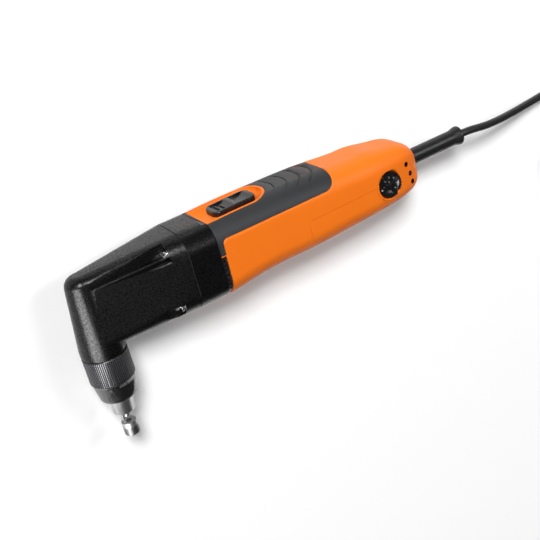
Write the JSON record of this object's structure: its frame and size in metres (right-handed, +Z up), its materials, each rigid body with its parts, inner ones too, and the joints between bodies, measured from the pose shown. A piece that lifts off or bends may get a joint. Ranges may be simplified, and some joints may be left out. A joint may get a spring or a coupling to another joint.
{
  "type": "hand held power nibbler",
  "caption": "Corded power nibbler: black gear head with a knurled die collar and round die, orange motor housing with soft grip, slide switch and speed dial, lead coiled with its plug.",
  "frame": {"origin": "on the flat right side it lies on, below the motor axis, at the middle of the bearing flange", "axes": "+X along the tool from the cutting head to the cord, +Y to the switch side so the die points to -Y, +Z up out of the left side"},
  "size_m": [0.681, 0.2105, 0.063],
  "materials": {
    "head_black": "satin powder coat on die-cast aluminium",
    "gasket_black": "matte",
    "bright_steel": "bright zinc plate",
    "hard_steel": "ground",
    "dark_steel": "blackened and polished",
    "satin_steel": "satin",
    "bronze": "satin",
    "felt": "matte",
    "lamination": "stacked sheet",
    "copper": "enamelled wire",
    "carbon": "matte",
    "orange_plastic": "satin",
    "grip_rubber": "matte",
    "black_plastic": "satin",
    "capacitor_yellow": "gloss",
    "cord_black": "matte",
    "nickel": "bright"
  },
  "bodies": {
    "frame": {"gear_head": "head_black", "bearing_flange": "head_black", "head_gasket": "gasket_black", "head_screws": "bright_steel", "cover_screws": "bright_steel", "clamp_screws": "bright_steel", "brush_springs": "bright_steel", "gear_needle_bearing": "hard_steel", "gear_bearing_front": "hard_steel", "motor_bearing_front": "hard_steel", "motor_bearing_rear": "hard_steel", "plunger_bush": "bronze", "plunger_wiper": "felt", "stator_core": "lamination", "field_coils": "copper", "brush_holders": "copper", "brushes": "carbon", "motor_housing": "orange_plastic", "service_cover": "orange_plastic", "grip_pad": "grip_rubber", "bearing_sleeve": "grip_rubber", "exhaust_grille": "black_plastic", "switch_module": "black_plastic", "dial_potentiometer": "black_plastic", "speed_module": "black_plastic", "cord_clamp": "black_plastic", "air_baffle": "black_plastic", "capacitor": "capacitor_yellow", "strain_relief": "cord_black", "cord_entry": "cord_black", "cord_lead": "cord_black", "cord_coil": "cord_black", "cord_tail": "cord_black", "plug_body": "cord_black", "coil_tie": "cord_black", "plug_pins": "nickel"},
    "rotor": {"armature_shaft": "hard_steel", "armature_core": "lamination", "armature_windings": "copper", "commutator": "copper", "fan": "black_plastic"},
    "eccentric": {"eccentric_shaft": "hard_steel", "drive_gear": "hard_steel", "eccentric_roller": "hard_steel", "roller_clip": "bright_steel"},
    "plunger": {"plunger": "hard_steel", "punch": "hard_steel"},
    "switch": {"switch_slider": "black_plastic", "switch_link": "black_plastic"},
    "dial": {"speed_dial": "black_plastic"},
    "collar": {"die_collar": "dark_steel"},
    "die_set": {"die_carrier": "satin_steel", "die": "hard_steel"}
  },
  "joints": [
    {"name": "rotor_spin", "type": "hinge", "parent": "frame", "child": "rotor", "pos_m": [0, 0, 0.0315], "axis": [1, 0, 0], "continuous": true},
    {"name": "eccentric_spin", "type": "hinge", "parent": "frame", "child": "eccentric", "pos_m": [0, -0.0156, 0.0315], "axis": [1, 0, 0], "continuous": true},
    {"name": "plunger_slide", "type": "slide", "parent": "frame", "child": "plunger", "axis": [0, 1, 0], "range_m": [-0.006, 0]},
    {"name": "switch_slide", "type": "slide", "parent": "frame", "child": "switch", "axis": [1, 0, 0], "range_m": [-0.006, 0]},
    {"name": "speed_dial_turn", "type": "hinge", "parent": "frame", "child": "dial", "pos_m": [0.1835, -0.0013, 0.055], "axis": [0, 0, 1], "range_deg": [-135, 135]},
    {"name": "collar_turn", "type": "hinge", "parent": "frame", "child": "collar", "pos_m": [-0.095, -0.064, 0.0315], "axis": [0, 1, 0], "range_deg": [0, 180]},
    {"name": "die_swivel", "type": "hinge", "parent": "frame", "child": "die_set", "pos_m": [-0.095, -0.09, 0.0315], "axis": [0, 1, 0], "range_deg": [-180, 180]}
  ],
  "couplings": [
    {"joint": "eccentric_spin", "follows": "rotor_spin", "ratio": -0.18182}
  ]
}
